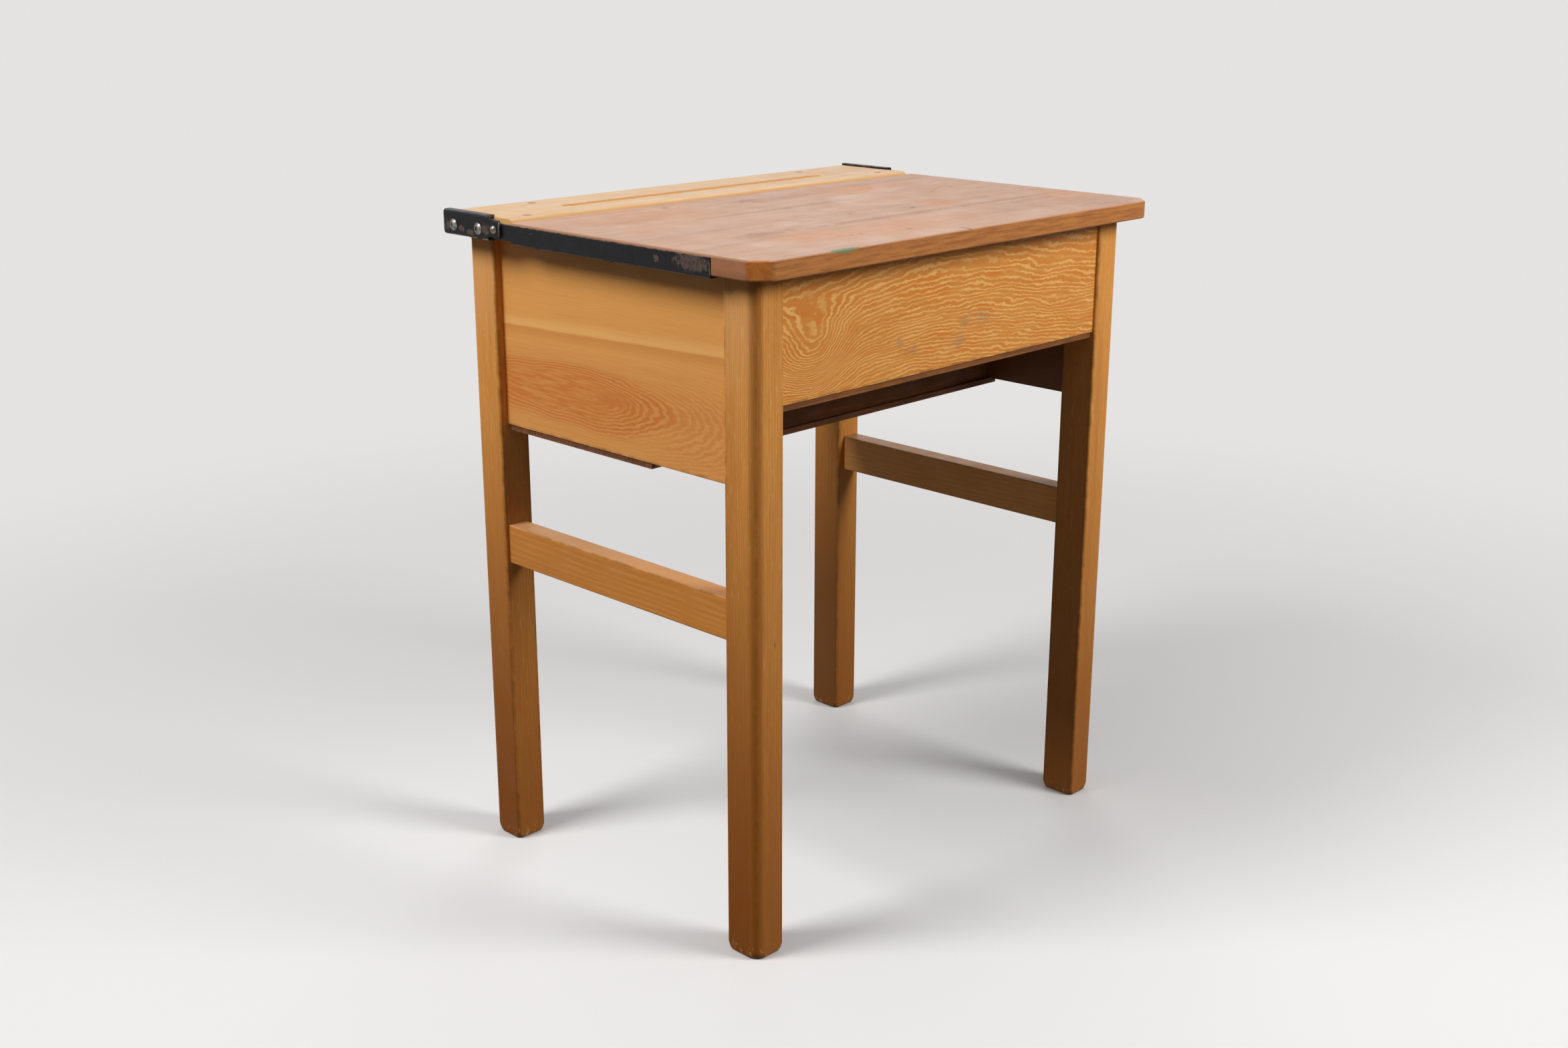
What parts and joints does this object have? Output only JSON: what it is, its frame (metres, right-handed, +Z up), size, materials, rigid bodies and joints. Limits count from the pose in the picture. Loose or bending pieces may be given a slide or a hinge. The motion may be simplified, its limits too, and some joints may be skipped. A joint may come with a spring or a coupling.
{
  "type": "school desk with lift lid",
  "caption": "Wooden school desk: boxed locker with stepped bottom on square legs, lift lid with clipped corners on side hinges, and a fixed rear ledge with a pencil groove.",
  "frame": {"origin": "on the floor, under the middle of the top's outline", "axes": "+X to the sitter's right along the front, +Y towards the fixed ledge (the sitter is on the -Y side), +Z up"},
  "size_m": [0.6216, 0.457, 0.71],
  "materials": {
    "leg_wood": "worn clear varnish over golden oak-coloured wood",
    "panel_wood": "clear varnish over orange-brown figured veneer",
    "inner_wood": "dark unpolished boards",
    "top_wood": "worn matt wood, scratched and stained",
    "plug_wood": "dark end-grain plugs",
    "hinge_steel": "chipped black paint on mild steel",
    "screw_steel": "dull zinc-plated steel"
  },
  "bodies": {
    "desk_frame": {"leg_front_left": "leg_wood", "leg_front_right": "leg_wood", "leg_back_left": "leg_wood", "leg_back_right": "leg_wood", "stretcher_left": "leg_wood", "stretcher_right": "leg_wood", "side_panel_left": "panel_wood", "side_panel_right": "panel_wood", "front_panel": "panel_wood", "back_panel": "panel_wood", "riser_board": "inner_wood", "front_floor": "inner_wood", "bottom_board": "inner_wood", "rear_ledge": "top_wood", "hinge_bracket_left": "hinge_steel", "hinge_bracket_right": "hinge_steel", "bracket_screws": "screw_steel", "ledge_screws": "screw_steel", "ledge_plugs": "plug_wood", "pivot_rivets": "hinge_steel", "board_brads": "screw_steel", "floor_brads": "screw_steel"},
    "lid_assembly": {"lid": "top_wood", "hinge_arm_left": "hinge_steel", "hinge_arm_right": "hinge_steel", "arm_screws": "screw_steel"}
  },
  "joints": [
    {"name": "lid_hinge", "type": "hinge", "parent": "desk_frame", "child": "lid_assembly", "pos_m": [0, 0.1455, 0.6965], "axis": [-1, 0, 0], "range_deg": [0, 98]}
  ]
}
